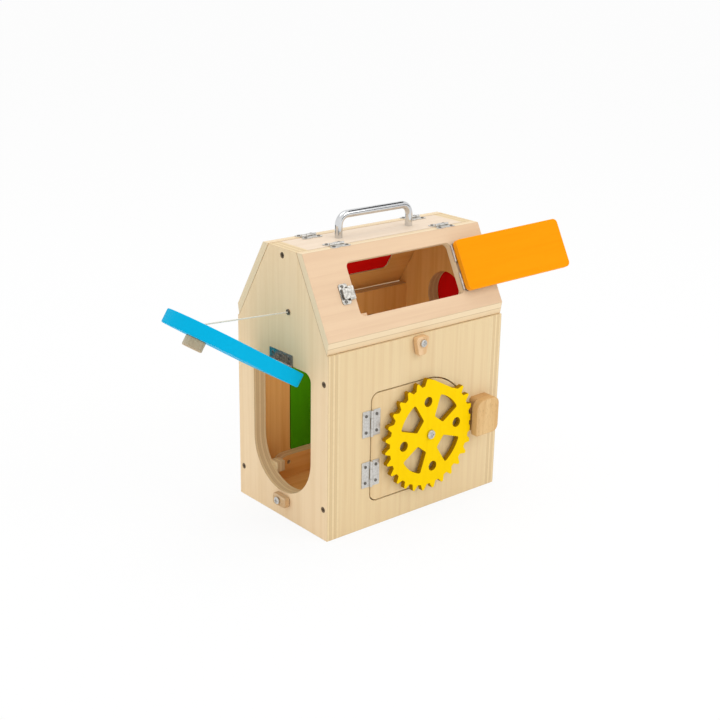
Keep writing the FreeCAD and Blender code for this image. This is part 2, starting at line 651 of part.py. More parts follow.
def build_gear_door():
    slab = gear_door_plate(0, 2 * PLY).common(box(0, WIDTH, 0, PLY - FACE_GAP, 0, RIDGE_TOP))
    frame_leaves = []
    door_leaves = []
    pins = []
    door_screws = []
    for z in (GD_Z1 - GATE_HINGE_HIGH, GD_Z0 + GATE_HINGE_LOW):
        fixed, moving, pin, fs, ms = placed_hinge(BUTT_HINGE, V(GD_X0 - SWING_GAP / 2, 0, z), Z, V(-1, 0, 0))
        frame_leaves += fixed
        door_leaves += moving
        pins += pin
        parts["box_hinge_screws"] += fs
        door_screws += ms
        parts["front_panel"] = [without(parts["front_panel"][0], fs)]
        slab = without(slab, ms)
    parts["door_frame_leaves"] = frame_leaves
    parts["door_hinge_pins"] = pins
    parts["gear_door_leaves"] = door_leaves
    parts["gear_door_screws"] = door_screws

    # The gear turns on a shouldered screw with a washer behind it.
    shaft = screw(GEAR_HEAD_R, GEAR_HEAD_T, GEAR_AXLE_R, GEAR_T + GEAR_STANDOFF + GEAR_AXLE_BITE)
    shaft.translate(V(0, 0, GEAR_T + GEAR_STANDOFF + FACE_GAP))
    washer = Part.makeCylinder(GEAR_WASHER_R, GEAR_STANDOFF - FACE_GAP)
    shaft = joined(shaft, washer)
    out = carry(shaft, V(GEAR_X, 0, GEAR_Z), X, Z)
    parts["gear_axle_screw"] = [out]
    parts["gear_door"] = [without(slab, [out])]

    # Tooth ring: a tip and a root for each tooth, a smooth stretch at the upper right, and a flat
    # where the ring meets the keeper, so that the door can swing in this position.
    pitch = 360.0 / GEAR_TEETH
    pts = []
    for k in range(GEAR_TEETH):
        a = GEAR_PHASE + k * pitch
        if 0 < k < 4:
            continue
        tip = GEAR_TIP_DEG / 2
        root = pitch / 2 - GEAR_GAP_DEG / 2
        ring = [(a - root, GEAR_ROOT_R), (a - tip, GEAR_TIP_R),
                (a + tip, GEAR_TIP_R), (a + root, GEAR_ROOT_R)]
        if k == 4:
            ring[0] = (a - 9.0, 60.2)
        pts += ring
        if k == 0:
            pts += [(57.7, 54.4)]
    flat = GEAR_EDGE_X - GEAR_X
    outline = [V(r * math.cos(math.radians(a)), r * math.sin(math.radians(a)), 0) for a, r in pts]
    gear = Part.Face(Part.makePolygon(outline + [outline[0]])).extrude(V(0, 0, GEAR_T))
    gear = gear.cut(box(flat, 2 * GEAR_TIP_R, -GEAR_TIP_R, GEAR_TIP_R, -1, GEAR_T + 1))
    for spoke in range(GEAR_SPOKES):
        step = 360.0 / GEAR_SPOKES * spoke
        gear = gear.cut(sector_window(GEAR_WINDOW_TURN + step, GEAR_WINDOW_DEG / 2, GEAR_WINDOW_R0,
                                      GEAR_WINDOW_R1))
        a = math.radians(GEAR_HOLES_TURN + step)
        hole_at = V(GEAR_HOLES_AT * math.cos(a), GEAR_HOLES_AT * math.sin(a), -1)
        gear = gear.cut(Part.makeCylinder(GEAR_HOLE_R, GEAR_T + 2, hole_at))
    gear = gear.cut(Part.makeCylinder(GEAR_AXLE_R + RUN, GEAR_T + 2, V(0, 0, -1)))
    # own frame z points out of the front
    parts["gear_wheel"] = [carry(gear, V(GEAR_X, -GEAR_STANDOFF, GEAR_Z), X, Z)]

    base = plate(rect(GEAR_X + GEAR_TIP_R + 1.5, KEEPER_X1 - 2, KEEPER_Z0 + 2, KEEPER_Z1), [2, 6, 6, 4],
                 0, KEEPER_SLOT)
    cap = plate(rect(KEEPER_X0, KEEPER_X1, KEEPER_Z0, KEEPER_Z1), [3, 8, 9, 11], KEEPER_SLOT, KEEPER_OUT)
    cap = cap.makeFillet(EASE, [e for e in cap.Edges if abs(e.BoundBox.ZMin - KEEPER_OUT) < 1e-6])
    parts["keeper_base"] = [carry(base, V(0, 0, 0), X, Z)]
    parts["keeper_cap"] = [carry(cap, V(0, 0, 0), X, Z)]


def sector_window(middle, half, r0, r1):
    lo = math.radians(middle - half)
    hi = math.radians(middle + half)
    mid = math.radians(middle)
    wide = (lo - math.radians(1.5), hi + math.radians(1.5))
    a = V(r0 * math.cos(wide[0]), r0 * math.sin(wide[0]), -1)
    b = V(r1 * math.cos(lo), r1 * math.sin(lo), -1)
    c = V(r1 * math.cos(mid), r1 * math.sin(mid), -1)
    d = V(r1 * math.cos(hi), r1 * math.sin(hi), -1)
    e = V(r0 * math.cos(wide[1]), r0 * math.sin(wide[1]), -1)
    wire = Part.Wire([Part.makeLine(a, b), Part.Arc(b, c, d).toShape(), Part.makeLine(d, e),
                      Part.makeLine(e, a)])
    s = Part.Face(wire).extrude(V(0, 0, GEAR_T + 2))
    upright = [edge for edge in s.Edges if abs(edge.BoundBox.ZLength - GEAR_T - 2) < 1e-3]
    return s.makeFillet(2.0, upright)


def build_buttons():
    screws = []
    top = turn_button(TOP_BUTTON_NARROW, TOP_BUTTON_WIDE, TOP_BUTTON_SHORT)
    low = turn_button(LOW_BUTTON_NARROW, LOW_BUTTON_WIDE, LOW_BUTTON_SHORT)
    top_at = V(TOP_BUTTON_X, 0, TOP_BUTTON_Z)
    parts["top_turn_button"] = [carry(top, top_at - Y * BUTTON_GAP, X, Z)]
    screws.append(carry(pivot_screw(BUTTON_T), top_at, X, Z))
    low_at = V(0, LOW_BUTTON_Y, LOW_BUTTON_Z)
    # The lower button lies level, its narrow end towards the front.
    parts["lower_turn_button"] = [carry(low, low_at - X * BUTTON_GAP, Z, Y)]
    screws.append(carry(pivot_screw(BUTTON_T), low_at, Z, Y))
    cover_at = V(WIDTH, WIN_Y, COVER_PIVOT_Z)
    cover = Part.makeCylinder(COVER_R, COVER_T, V(COVER_PIVOT_Z - COVER_Z, 0, 0))
    cover = cover.makeFillet(COVER_EASE, [e for e in cover.Edges if e.BoundBox.ZLength < 1e-6])
    cover = cover.cut(Part.makeCylinder(PIVOT_R + RUN, COVER_T + 2, V(0, 0, -1)))
    # own frame: x down the wall, y towards the back, z out of the right wall
    parts["round_cover"] = [carry(cover, cover_at + X * BUTTON_GAP, V(0, 0, -1), Y)]
    screws.append(carry(pivot_screw(COVER_T), cover_at, V(0, 0, -1), Y))
    parts["pivot_screws"] = screws
    parts["front_panel"] = [without(parts["front_panel"][0], screws)]
    parts["left_side_panel"] = [without(parts["left_side_panel"][0], screws)]
    parts["right_side_panel"] = [without(parts["right_side_panel"][0], screws)]


def build_roof(side, u, v, origin, section, seam_y, seam_v, open_degrees):
    # One sloping panel with its opening, its lid and both pairs of hinges.
    panel = prism_x(section, 0, WIDTH)
    panel = panel.cut(carry(roof_opening(0), origin, u, v))
    leaves = []
    screws = []
    ridge_leaves = []
    ridge_pins = []
    ridge_screws = []
    for x in RIDGE_HINGE_X:
        at = V(x, seam_y, RIDGE_TOP)
        fixed, moving, pin, fs, ms = placed_hinge(MINI_HINGE, at, V(seam_v.y, 0, 0), seam_v)
        ridge_leaves += fixed
        ridge_pins += pin
        ridge_screws += fs
        leaves += moving
        screws += ms
    lid = roof_lid()
    lid_leaves = []
    lid_screws = []
    lid_pins = []
    for s in LID_HINGE_S:
        fixed, moving, pin, fs, ms = placed_hinge(MINI_HINGE, V(LID_AXIS_X, s, 0), V(0, -1, 0), X)
        leaves += [carry(q, origin, u, v) for q in fixed]
        lid_pins += [carry(q, origin, u, v) for q in pin]
        screws += [carry(q, origin, u, v) for q in fs]
        lid_leaves += moving
        lid_screws += ms
    lid = without(lid, lid_screws)
    centre = V(LID_AXIS_X, 0, PIN_HIGH)
    place_lid = lambda q: carry(turned(q, centre, Y, open_degrees), origin, u, v)
    panel = without(panel, screws)
    parts[side + "_roof_leaves"] = leaves
    parts[side + "_lid_pins"] = lid_pins
    parts[side + "_lid_leaves"] = [place_lid(q) for q in lid_leaves]
    parts[side + "_lid_screws"] = [place_lid(q) for q in lid_screws]
    parts["ridge_hinge_leaves"] = parts.get("ridge_hinge_leaves", []) + ridge_leaves
    parts["ridge_hinge_pins"] = parts.get("ridge_hinge_pins", []) + ridge_pins
    parts["box_hinge_screws"] += ridge_screws
    parts["ridge_board"] = [without(parts["ridge_board"][0], ridge_screws)]
    return panel, lid, screws, place_lid


def build_front_roof():
    section = roof_section(0, FRONT_EAVE, RIDGE_FRONT, FRONT_BAND_FOOT, FC, FS)
    panel, lid, screws, place_lid = build_roof("front", FRONT_U, FRONT_V, FRONT_O, section,
                                               FRONT_SEAM_Y, Y, LID_OPEN_DEG)
    # Catch: a screwed plate with a raised hook, left of the opening.
    half = CATCH_W / 2
    body = CATCH_L / 2 - 2 * SMALL_HEAD_R - 1.7
    catch = plate(rect(CATCH_X - half, CATCH_X + half, CATCH_S - CATCH_L / 2, CATCH_S + CATCH_L / 2),
                  [half / 2] * 4, 0, CATCH_T)
    catch = joined(catch, plate(rect(CATCH_X - half + 2, CATCH_X + half, CATCH_S - body, CATCH_S + body),
                                [1] * 4, 0, HOOK_HIGH))
    hook = rect(CATCH_X + half - 2, CATCH_X + half + HOOK_W, CATCH_S - HOOK_L / 2, CATCH_S + HOOK_L / 2)
    hook = plate(hook, [1] * 4, HOOK_HIGH - HOOK_T, HOOK_HIGH)
    catch = joined(catch, hook)
    small = screw(SMALL_HEAD_R, SMALL_HEAD_T, SMALL_SHANK_R, SMALL_SHANK)
    catch_screws = []
    for s in (CATCH_S - CATCH_L / 2 + SMALL_HEAD_R + 1, CATCH_S + CATCH_L / 2 - SMALL_HEAD_R - 1):
        q = small.copy()
        q.translate(V(CATCH_X - 1, s, CATCH_T))
        catch_screws.append(q)
    catch = without(catch, catch_screws)
    catch_screws = [carry(q, FRONT_O, FRONT_U, FRONT_V) for q in catch_screws]
    parts["lid_catch_plate"] = [carry(catch, FRONT_O, FRONT_U, FRONT_V)]
    parts["front_roof_screws"] = screws + catch_screws
    panel = without(panel, catch_screws)
    stop = box(RO_X0 - 8, RO_X0 + 14, RO_S0 - 9, RO_S0 + 4, -THIN_PLY - LID_STOP_T, -THIN_PLY)
    parts["front_lid_stop"] = [carry(stop, FRONT_O, FRONT_U, FRONT_V)]
    # Latch on the lid's outer face: a base with two ears and a loop that swings over the hook.
    ear_t = 2.1
    ear_out = LOOP_HALF + 0.4 + ear_t
    base = plate(rect(LATCH_X - 5, LATCH_X + 7, CATCH_S - ear_out, CATCH_S + ear_out), [2] * 4, 0, CATCH_T)
    for s in (CATCH_S - ear_out, CATCH_S + ear_out - ear_t):
        ear = box(LATCH_X - 2, LATCH_X + 2, s, s + ear_t, 0, LOOP_HIGH)
        ear = joined(ear, Part.makeCylinder(2.0, ear_t, V(LATCH_X, s, LOOP_HIGH), Y))
        base = joined(base, ear)
    cross = Part.makeCylinder(LOOP_PIN_R, 2 * ear_out, V(LATCH_X, CATCH_S - ear_out, LOOP_HIGH), Y)
    base = joined(base, cross)
    loop = plate(rect(LATCH_X, LATCH_X + LOOP_REACH, CATCH_S - LOOP_HALF, CATCH_S + LOOP_HALF),
                 [0, 3, 3, 0], LOOP_HIGH - 0.6, LOOP_HIGH + 0.6)
    loop = loop.cut(plate(rect(LATCH_X + LOOP_BAR + 0.5, LATCH_X + LOOP_REACH - LOOP_BAR,
                               CATCH_S - LOOP_HALF + LOOP_BAR, CATCH_S + LOOP_HALF - LOOP_BAR),
                          [1] * 4, 0, 2 * LOOP_HIGH))
    loop = joined(loop, Part.makeCylinder(LOOP_PIN_R + 0.9, 2 * LOOP_HALF,
                                          V(LATCH_X, CATCH_S - LOOP_HALF, LOOP_HIGH), Y))
    loop = loop.cut(Part.makeCylinder(LOOP_PIN_R + RUN, 4 * LOOP_HALF,
                                      V(LATCH_X, CATCH_S - 2 * LOOP_HALF, LOOP_HIGH), Y))
    parts["front_roof_panel"] = [panel]
    parts["front_lid"] = [place_lid(lid)]
    parts["latch_base"] = [place_lid(base)]
    parts["latch_loop"] = [place_lid(loop)]


def build_back_roof():
    section = roof_section(DEPTH, BACK_EAVE, RIDGE_BACK, BACK_BAND_FOOT, BC, BS)
    panel, lid, screws, place_lid = build_roof("back", BACK_U, BACK_V, BACK_O, section,
                                               BACK_SEAM_Y, V(0, -1, 0), 0)
    knob = Part.makeCylinder(BACK_KNOB_R, BACK_KNOB_T, V(RO_X0 + BACK_KNOB_IN, (RO_S0 + RO_S1) / 2, 0))
    knob = knob.makeFillet(KNOB_EASE, [e for e in knob.Edges if e.BoundBox.ZLength < 1e-6])
    parts["back_roof_panel"] = [panel]
    parts["back_roof_screws"] = screws
    parts["back_lid"] = [place_lid(lid)]
    parts["back_lid_knob"] = [place_lid(knob)]


def build_back_door():
    slab = back_door_plate(0, 2 * PLY).common(box(0, WIDTH, DEPTH - PLY + FACE_GAP, DEPTH, 0, RIDGE_TOP))
    door_leaves = []
    door_screws = []
    for z in (BD_Z0 + BD_HINGE_IN, BD_Z1 - BD_HINGE_IN):
        at = V(BD_X1 + SWING_GAP / 2, DEPTH, z)
        fixed, moving, pin, fs, ms = placed_hinge(BUTT_HINGE, at, Z, X)
        parts["door_frame_leaves"] += fixed
        parts["door_hinge_pins"] += pin
        parts["box_hinge_screws"] += fs
        parts["back_panel"] = [without(parts["back_panel"][0], fs)]
        door_leaves += moving
        door_screws += ms
        slab = without(slab, ms)
    parts["green_door_leaves"] = door_leaves
    parts["green_door_screws"] = door_screws
    parts["green_door"] = [slab]
    # A round bolt slides in two guides on the door into a keep on the wall.
    y = DEPTH + BOLT_OUT
    bore = rod(BOLT_R + RUN, V(0, y, BOLT_Z), V(WIDTH, y, BOLT_Z))
    keep_bore = rod(BOLT_R + FACE_GAP, V(0, y, BOLT_Z), V(WIDTH, y, BOLT_Z))
    parts["bolt_guides"] = [bolt_block(BD_X0 + step, y).cut(bore) for step in GUIDE_STEPS]
    parts["bolt_keep"] = [bolt_block(BD_X0 - BOLT_KEEP_AT, y).cut(keep_bore)]
    bolt_x = BD_X0 + BOLT_IN
    grip_x = bolt_x + BOLT_GRIP_AT
    bolt = joined(rod(BOLT_R, V(bolt_x, y, BOLT_Z), V(bolt_x + BOLT_LONG, y, BOLT_Z)),
                  rod(BOLT_GRIP_R, V(grip_x, y, BOLT_Z), V(grip_x, y + BOLT_GRIP_OUT, BOLT_Z)),
                  Part.makeSphere(BOLT_BALL_R, V(grip_x, y + BOLT_GRIP_OUT + 1.0, BOLT_Z)))
    parts["door_bolt"] = [bolt]


def bolt_block(x, y):
    # A block that the bolt runs through, screwed flat to the back.
    top = y + BOLT_R + GUIDE_WALL
    block = box(x, x + GUIDE_W, DEPTH, top, BOLT_Z - GUIDE_HALF, BOLT_Z + GUIDE_HALF)
    long_edges = [e for e in block.Edges if e.BoundBox.XLength > GUIDE_W - 0.1 and e.BoundBox.YMax > y]
    return block.makeFillet(GUIDE_EASE, long_edges)


def build_inside():
    # Two small blocks that the flush doors close against, and a rail along the back of the floor.
    rim = ARCH_W / 2 + 1.0
    turn = math.radians(STOP_TURN_DEG)
    stop_y = ARCH_Y + rim * math.cos(turn)
    stop_z = ARCH_BOTTOM + ARCH_W / 2 - rim * math.sin(turn)
    arch_stop = box(PLY, PLY + STOP_DEEP, stop_y - STOP_WIDE / 2, stop_y + STOP_WIDE / 2,
                    stop_z - STOP_TALL / 2, stop_z + STOP_TALL / 2)
    door_stop = box(GD_X1 - STOP_WIDE / 2, GD_X1 + STOP_WIDE, PLY, PLY + STOP_DEEP,
                    GEAR_Z - GATE_STOP / 2, GEAR_Z + GATE_STOP / 2)
    parts["door_stop_blocks"] = [arch_stop, door_stop]
    rail = plate([(RAIL_X0, PLY), (RAIL_X1, PLY), (RAIL_X1, PLY + RAIL_TALL), (RAIL_X0, PLY + RAIL_TALL)],
                 [0, 0, 0, RAIL_END_R], 0, RAIL_T)
    rail = carry(rail, V(0, DEPTH - PLY, 0), X, Z)
    for x in RAIL_HOLES_X:
        start = V(x, DEPTH - PLY - RAIL_T - 1.0, PLY + RAIL_HOLE_UP)
        rail = rail.cut(rod(RAIL_HOLE_R, start, start + Y * (RAIL_HOLE_DEEP + 1.0)))
    parts["floor_rail"] = [rail]


build_walls()
build_handle()
build_arch_door()
build_gear_door()
build_buttons()
build_front_roof()
build_back_roof()
build_back_door()
build_inside()

os.makedirs("parts", exist_ok=True)
total = 0
for name in sorted(parts):
    solids = []
    for shape in parts[name]:
        solids += shape.Solids
    group = solids[0] if len(solids) == 1 else Part.makeCompound(solids)
    group.translate(ORIGIN_SHIFT)
    group.exportStep("parts/" + name + ".step")
    b = group.BoundBox
    total += 1
    print("%-22s %2d solids valid %s  x %.1f..%.1f y %.1f..%.1f z %.1f..%.1f" % (
        name, len(solids), group.isValid(), b.XMin, b.XMax, b.YMin, b.YMax, b.ZMin, b.ZMax))
print(total, "nodes")
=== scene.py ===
# %% [markdown]
# # A wooden busy board
# The toy is a small plywood house full of things to open: an arched door held up by a cord, a door
# behind a big gear, lids in both roof slopes, turn buttons, a bolt and a carry handle.
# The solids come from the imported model, so this lesson is about finishes: what plywood, paint,
# zinc and chrome look like, and how to build each from nodes.

# %% The frame
import json
import math

import bmesh
import bpy
from mathutils import Matrix, Vector


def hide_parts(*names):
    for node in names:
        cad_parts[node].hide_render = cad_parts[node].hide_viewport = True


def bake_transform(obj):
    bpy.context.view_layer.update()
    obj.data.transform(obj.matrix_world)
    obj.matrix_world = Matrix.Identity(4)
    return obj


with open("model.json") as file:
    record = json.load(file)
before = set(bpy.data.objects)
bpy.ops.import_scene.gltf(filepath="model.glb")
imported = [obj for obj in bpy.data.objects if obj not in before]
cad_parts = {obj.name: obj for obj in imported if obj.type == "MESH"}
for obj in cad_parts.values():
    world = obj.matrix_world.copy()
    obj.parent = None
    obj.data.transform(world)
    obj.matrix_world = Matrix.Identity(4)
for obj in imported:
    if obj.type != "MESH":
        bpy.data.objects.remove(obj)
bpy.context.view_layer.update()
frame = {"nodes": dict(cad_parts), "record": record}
scene = bpy.context.scene
scene.view_settings.view_transform = "Standard"
print("parts on the bench:", len(frame["nodes"]))

# %% [markdown]
# Paint charts give colours as sRGB hex values, but shaders work in linear light. One function
# turns a hex value into linear numbers, so every colour below can be compared with a swatch.


# %% Colours
def colour(hex_value):
    channels = []
    for start in (1, 3, 5):
        c = int(hex_value[start:start + 2], 16) / 255
        channels.append(c / 12.92 if c <= 0.04045 else ((c + 0.055) / 1.055) ** 2.4)
    return (*channels, 1.0)


print("birch face, linear:", [round(c, 3) for c in colour("#e6d0a0")])

# %% [markdown]
# A material is a small network. One helper adds a node, sets its options and feeds its inputs from
# plain numbers or from other nodes' outputs. Everything that follows is written with it.


# %% Adding a node
def add(tree, kind, feeds=None, **options):
    made = tree.nodes.new(kind)
    for option, value in options.items():
        setattr(made, option, value)
    for socket, source in (feeds or {}).items():
        if isinstance(source, bpy.types.NodeSocket):
            tree.links.new(source, made.inputs[socket])
        else:
            made.inputs[socket].default_value = source
    return made


def new_finish(name):
    finish = bpy.data.materials.new(name)
    finish.use_nodes = True
    tree = finish.node_tree
    tree.nodes.clear()
    return finish, tree


# %% [markdown]
# Blender measures in metres and a maker in millimetres. A pattern's scale says how often it repeats
# in a metre, so it is worked out here from the size that the eye sees, such as the gap between two
# streaks of grain.


# %% Pattern sizes
MM = 0.001


def repeats(size):
    return 1.0 / (size * MM)


print("streaks 6 mm apart:", round(repeats(6)), "in a metre")

# %% [markdown]
# Plywood is thin sheets of wood glued crosswise. Its face shows the grain of one sheet as long pale
# streaks, and a sawn edge shows the sheets as stripes, every second one darker because it is seen
# end on, with a thin brown glue line between. Both come from the same three numbers: how far a
# point lies along the grain, across it, and through the board. The surface's own direction then
# tells a face from a sawn edge.


# %% Board coordinates
FLAT = 0.9


def board_numbers(tree, grain, out):
    place = add(tree, "ShaderNodeTexCoord")
    across = Vector(grain).cross(Vector(out))
    distances = []
    for direction in (grain, across, out):
        reach = add(tree, "ShaderNodeVectorMath",
                    {0: place.outputs["Object"], 1: tuple(direction)}, operation="DOT_PRODUCT")
        distances.append(reach.outputs["Value"])
    return distances


def facing(tree, direction):
    place = add(tree, "ShaderNodeTexCoord")
    lean = add(tree, "ShaderNodeVectorMath",
               {0: place.outputs["Normal"], 1: tuple(direction)}, operation="DOT_PRODUCT")
    return lean.outputs["Value"]


def sawn_edge(tree, out):
    slant = add(tree, "ShaderNodeMath", {0: facing(tree, out)}, operation="ABSOLUTE")
    edge = add(tree, "ShaderNodeMath", {0: slant.outputs[0], 1: FLAT}, operation="LESS_THAN")
    return edge.outputs[0]


print("a face is flat up to", round(math.degrees(math.acos(FLAT))), "degrees of lean")

# %% [markdown]
# Streaks are noise that has been stretched: the same random pattern, but many times longer along
# the grain than across it. Three sizes in millimetres say how long, how wide and how deep one
# streak is, and a twist makes it wander a little, as grain does.


# %% Stretched noise
def streaks(tree, distances, sizes, detail=3.0, twist=0.0):
    scaled = []
    for distance, size in zip(distances, sizes):
        step = add(tree, "ShaderNodeMath", {0: distance, 1: repeats(size)}, operation="MULTIPLY")
        scaled.append(step.outputs[0])
    place = add(tree, "ShaderNodeCombineXYZ", {0: scaled[0], 1: scaled[1], 2: scaled[2]})
    noise = add(tree, "ShaderNodeTexNoise",
                {"Vector": place.outputs[0], "Scale": 1.0, "Detail": detail, "Roughness": 0.6,
                 "Distortion": twist})
    return noise.outputs["Fac"]


# %% [markdown]
# All the wood here ends in the same few nodes. The bevel node rounds each sawn arris in shading by
# 0.6 to 0.8 mm, as sandpaper does in the workshop, and the bump lifts the grain by a fifth of a
# millimetre at most.


# %% Wood under lacquer
GRAIN_DEPTH = 0.2 * MM


def wood_skin(tree, tone, gloss, height, arris, relief, ior, level):
    rounded = add(tree, "ShaderNodeBevel", {"Radius": arris * MM}, samples=6)
    bump = add(tree, "ShaderNodeBump",
               {"Strength": relief, "Distance": GRAIN_DEPTH, "Height": height,
                "Normal": rounded.outputs[0]})
    skin = add(tree, "ShaderNodeBsdfPrincipled",
               {"Base Color": tone, "Roughness": gloss, "Normal": bump.outputs[0], "IOR": ior,
                "Specular IOR Level": level})
    add(tree, "ShaderNodeOutputMaterial", {"Surface": skin.outputs[0]})


print("grain relief:", round(GRAIN_DEPTH / MM, 2), "mm")

# %% [markdown]
# The boards are poplar and birch plywood under one thin coat of clear lacquer: pale and slightly
# satin. Their inner faces get warmer, browner tones, which are painted shade for the dim inside of
# the box. The face mixes three tones: the sheet's own, narrow streaks 6 mm apart, and broad warm
# bands 60 mm apart.


# %% The face of a board
# Painted shade: warmer, browner tones for faces that point into the box.
INNER_SHADE = ("#f4c47c", "#e6b064")


def board_face(tree, distances, out, tones):
    face, streak, warm = tones
    fine = streaks(tree, distances, (200, 5.88, 5.88), 4.0, 0.4)
    broad = streaks(tree, distances, (625, 58.8, 58.8), 2.0, 1.2)
    narrow = add(tree, "ShaderNodeMapRange", {0: fine, 1: 0.42, 2: 0.75})
    tone = add(tree, "ShaderNodeMix", {0: narrow.outputs[0], 6: colour(face), 7: colour(streak)},
               data_type="RGBA")
    bands = add(tree, "ShaderNodeMapRange", {0: broad, 1: 0.4, 2: 0.8, 4: 0.7})
    tone = add(tree, "ShaderNodeMix", {0: bands.outputs[0], 6: tone.outputs[2], 7: colour(warm)},
               data_type="RGBA")
    shaded = add(tree, "ShaderNodeMapRange", {0: fine, 1: 0.4, 2: 0.8})
    inner = add(tree, "ShaderNodeMix",
                {0: shaded.outputs[0], 6: colour(INNER_SHADE[0]), 7: colour(INNER_SHADE[1])}, data_type="RGBA")
    # Faces that point into the box take the painted-shade inner tones.
    inside = add(tree, "ShaderNodeMath", {0: facing(tree, out), 1: -FLAT}, operation="LESS_THAN")
    tone = add(tree, "ShaderNodeMix",
               {0: inside.outputs[0], 6: tone.outputs[2], 7: inner.outputs[2]}, data_type="RGBA")
    return tone.outputs[2], fine


print("raw inner wood, linear:", [round(c, 3) for c in colour(INNER_SHADE[0])])

# %% [markdown]
# A sawn edge is coloured by its depth below the outer face, counted in sheets: every second sheet
# is dark, and the first eighth of each is half covered by the glue line. Where the saw met the
# grain end on, the roof boards look nearly plain, so the stripes can be faded there.


# %% The edge of a board
GLUE_SHARE, GLUE_STRENGTH = 0.12, 0.5


def board_edge(tree, distances, grain, outer, ply, tones, plain_ends):
    light, dark, glue = (colour(tone) for tone in tones)
    depth = add(tree, "ShaderNodeMath", {0: outer, 1: distances[2]}, operation="SUBTRACT")
    sheet = add(tree, "ShaderNodeMath", {0: depth.outputs[0], 1: ply}, operation="DIVIDE")
    within = add(tree, "ShaderNodeMath", {0: sheet.outputs[0]}, operation="FRACT")
    pair = add(tree, "ShaderNodeMath", {0: sheet.outputs[0], 1: 0.5}, operation="MULTIPLY")
    half = add(tree, "ShaderNodeMath", {0: pair.outputs[0]}, operation="FRACT")
    odd = add(tree, "ShaderNodeMath", {0: half.outputs[0], 1: 0.5}, operation="GREATER_THAN")
    sawn = add(tree, "ShaderNodeMix", {0: odd.outputs[0], 6: light, 7: dark}, data_type="RGBA")
    end_grain = streaks(tree, distances, (3.85, 3.85, 8.33), 3.0)
    specks = add(tree, "ShaderNodeMapRange", {0: end_grain, 1: 0.45, 2: 0.8, 4: 0.35})
    sawn = add(tree, "ShaderNodeMix", {0: specks.outputs[0], 6: sawn.outputs[2], 7: dark},
               data_type="RGBA")
    line = add(tree, "ShaderNodeMath", {0: within.outputs[0], 1: GLUE_SHARE}, operation="LESS_THAN")
    glued = add(tree, "ShaderNodeMath", {0: line.outputs[0], 1: GLUE_STRENGTH},
                operation="MULTIPLY")
    sawn = add(tree, "ShaderNodeMix", {0: glued.outputs[0], 6: sawn.outputs[2], 7: glue},
               data_type="RGBA")
    along = add(tree, "ShaderNodeMath", {0: facing(tree, grain)}, operation="ABSOLUTE")
    cut_end = add(tree, "ShaderNodeMath", {0: along.outputs[0], 1: FLAT}, operation="GREATER_THAN")
    plain = add(tree, "ShaderNodeMath", {0: cut_end.outputs[0], 1: plain_ends},
                operation="MULTIPLY")
    sawn = add(tree, "ShaderNodeMix", {0: plain.outputs[0], 6: sawn.outputs[2], 7: light},
               data_type="RGBA")
    return sawn.outputs[2], end_grain


print("glue line in a 3 mm sheet:", round(3 * GLUE_SHARE, 2), "mm")

# %% [markdown]
# Face and edge meet in one material. Pores less than a millimetre wide vary the gloss, which is
# all that shows of the lacquer at this distance.


# %% Plywood
def plywood(name, grain, out, outer, ply, tones, edge_tones, plain_ends=0.0):
    finish, tree = new_finish(name)
    distances = board_numbers(tree, grain, out)
    edge = sawn_edge(tree, out)
    face, fine = board_face(tree, distances, out, tones)
    sawn, end_grain = board_edge(tree, distances, grain, outer, ply, edge_tones, plain_ends)
    tone = add(tree, "ShaderNodeMix", {0: edge, 6: face, 7: sawn}, data_type="RGBA")
    height = add(tree, "ShaderNodeMix", {0: edge, 2: fine, 3: end_grain})
    pores = streaks(tree, distances, (14.3, 0.667, 0.667), 2.0)
    gloss = add(tree, "ShaderNodeMapRange", {0: pores, 1: 0.35, 2: 0.7, 3: 0.42, 4: 0.58})
    wood_skin(tree, tone.outputs[2], gloss.outputs[0], height.outputs[0],
              arris=0.6, relief=0.12, ior=1.5, level=0.25)
    return finish


# %% [markdown]
# Paint on the doors, lids and gear is a water stain under a thin matt lacquer. The grain still
# shows through as very soft streaks, and the sawn edges have a tone of their own, which on the
# yellow gear is partly painted shade and on the orange lid a painted highlight. Bare stain hardly
# mirrors, so the IOR was matched well below the 1.5 of a thick clear coat. The white tent washes
# out most of the colour that such paint throws on pale wood, so light that bounces off it is mixed
# with a plain tone.


# %% Painted wood
PLAIN_BOUNCE, BOUNCE_SHARE = "#d3e2d8", 0.6


